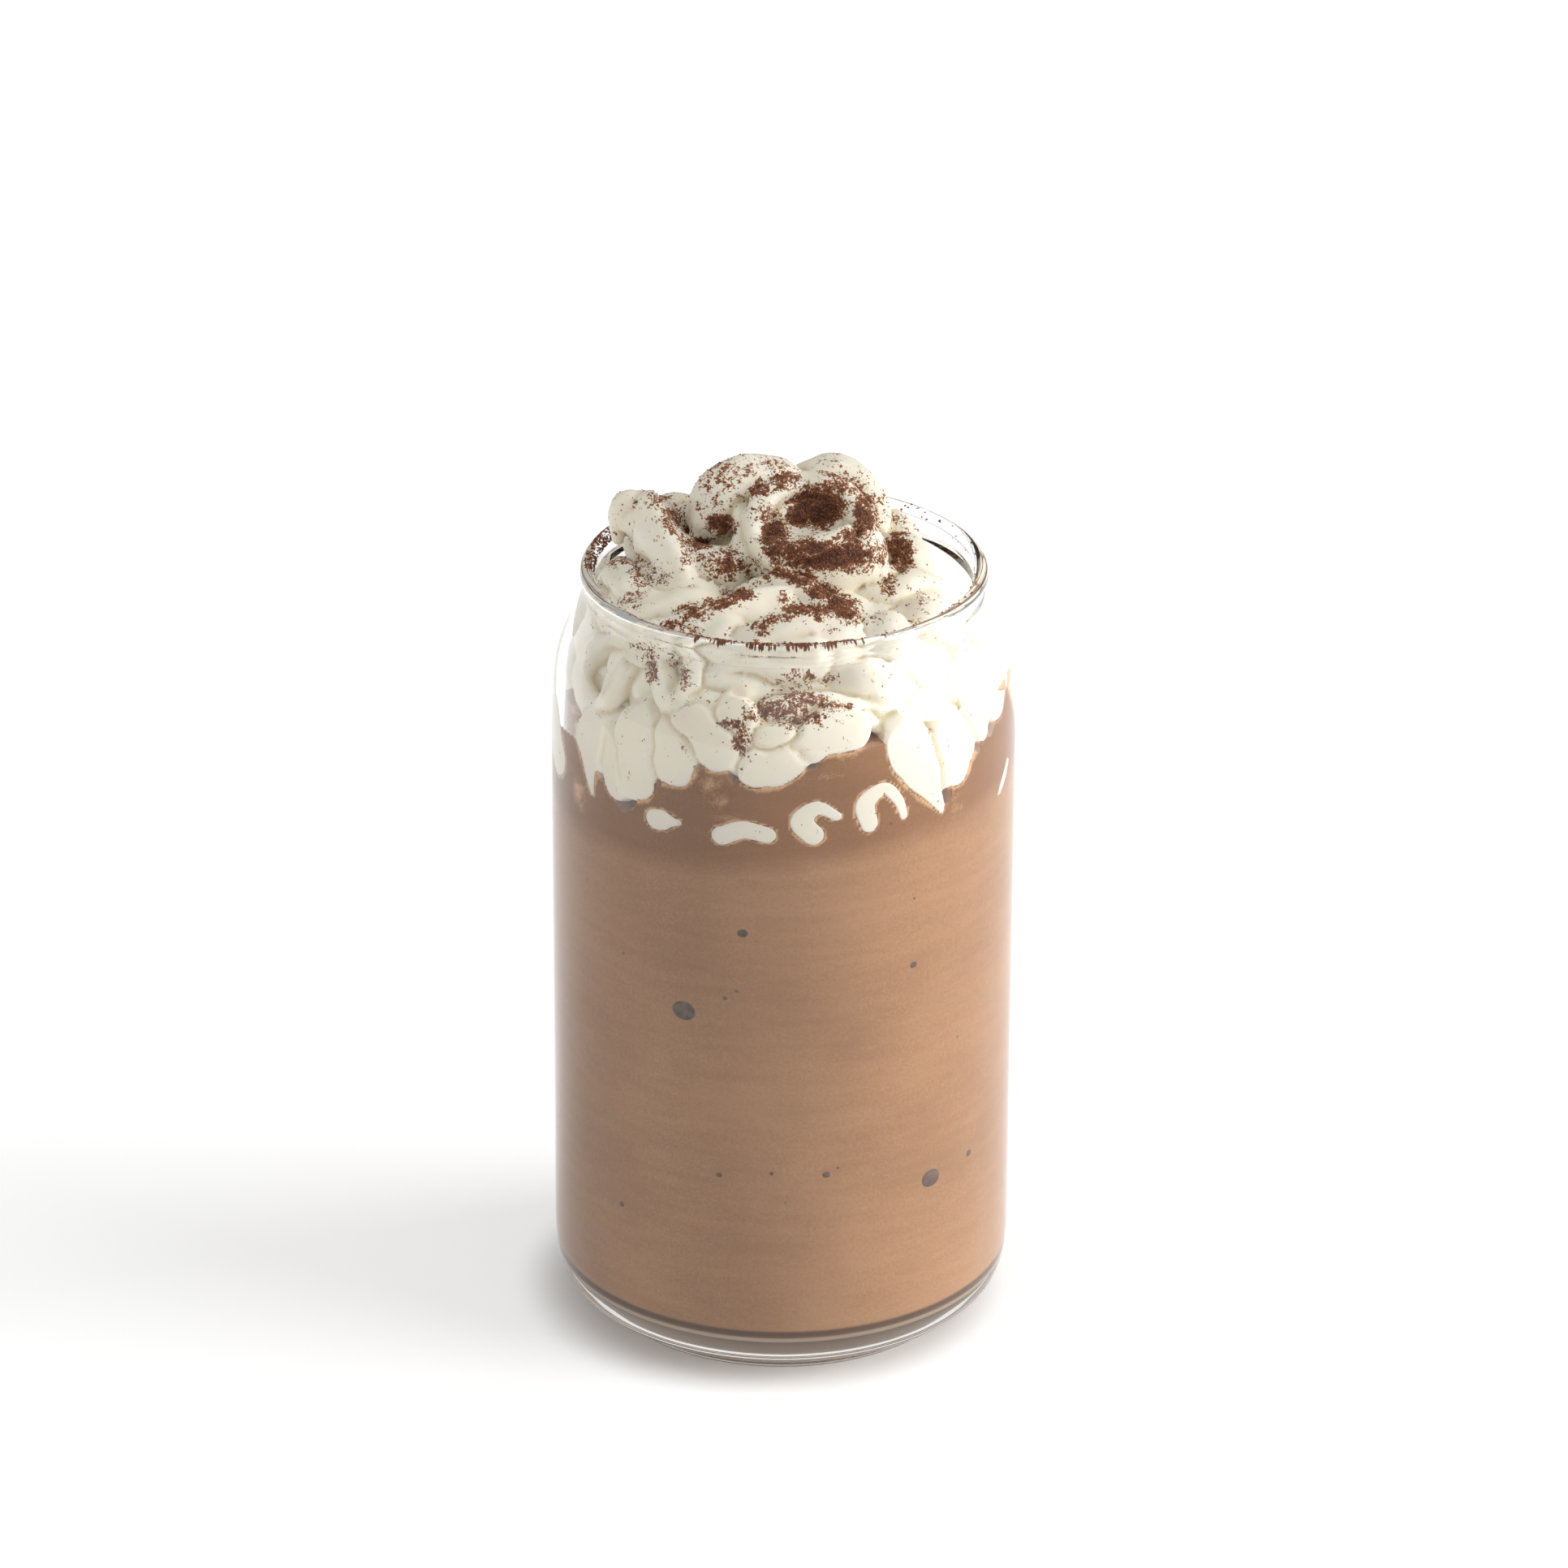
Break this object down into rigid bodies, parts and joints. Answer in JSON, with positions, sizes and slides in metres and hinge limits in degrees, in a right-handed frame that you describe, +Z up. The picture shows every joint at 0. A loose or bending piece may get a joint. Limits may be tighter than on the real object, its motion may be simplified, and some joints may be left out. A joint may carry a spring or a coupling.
{
  "type": "chocolate milkshake",
  "caption": "Can-shaped clear glass filled with chocolate milkshake and topped with folds of whipped cream dusted with cocoa.",
  "frame": {"origin": "middle of the glass's foot, on the table", "axes": "+Z up along the glass's axis, -Y towards the front"},
  "size_m": [0.0762, 0.0762, 0.149],
  "materials": {
    "glass": "clear, polished, thick base",
    "milkshake": "opaque light brown liquid, smooth against the glass",
    "whipped_cream": "satin cream white with clumped cocoa powder"
  },
  "bodies": {
    "root": {"glass": "glass", "milkshake": "milkshake", "whipped_cream": "whipped_cream"}
  },
  "joints": []
}
